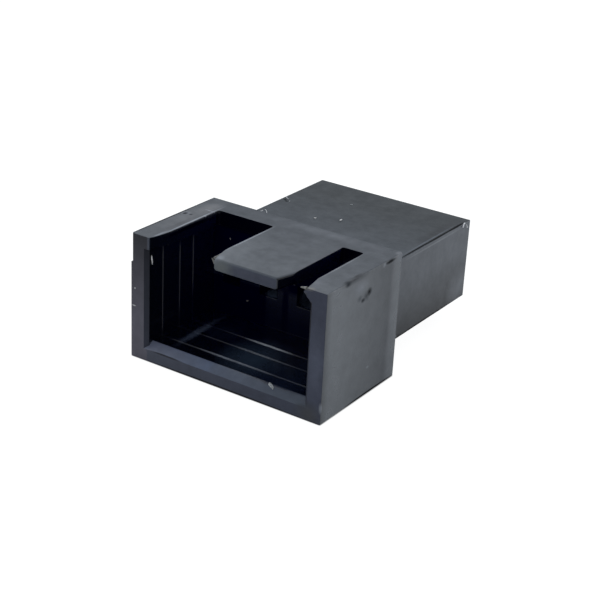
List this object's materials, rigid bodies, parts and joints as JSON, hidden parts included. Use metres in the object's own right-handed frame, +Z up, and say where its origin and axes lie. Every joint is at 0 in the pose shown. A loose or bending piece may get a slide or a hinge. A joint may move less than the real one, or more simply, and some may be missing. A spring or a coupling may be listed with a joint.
{
  "type": "pwm fan connector",
  "caption": "In-line socket housing with a keyed box mouth, a tongue in its slotted roof and a narrower tail block that holds the contacts.",
  "frame": {"origin": "middle of the bounding box, on the plane of the socket's underside", "axes": "+X across the row of contacts, +Y from the mouth to the tail, +Z up towards the slotted roof"},
  "size_m": [0.0126, 0.017, 0.0073],
  "materials": {
    "black_plastic": "satin moulded black plastic with a fine spark-eroded grain"
  },
  "bodies": {
    "root": {"housing": "black_plastic"}
  },
  "joints": []
}
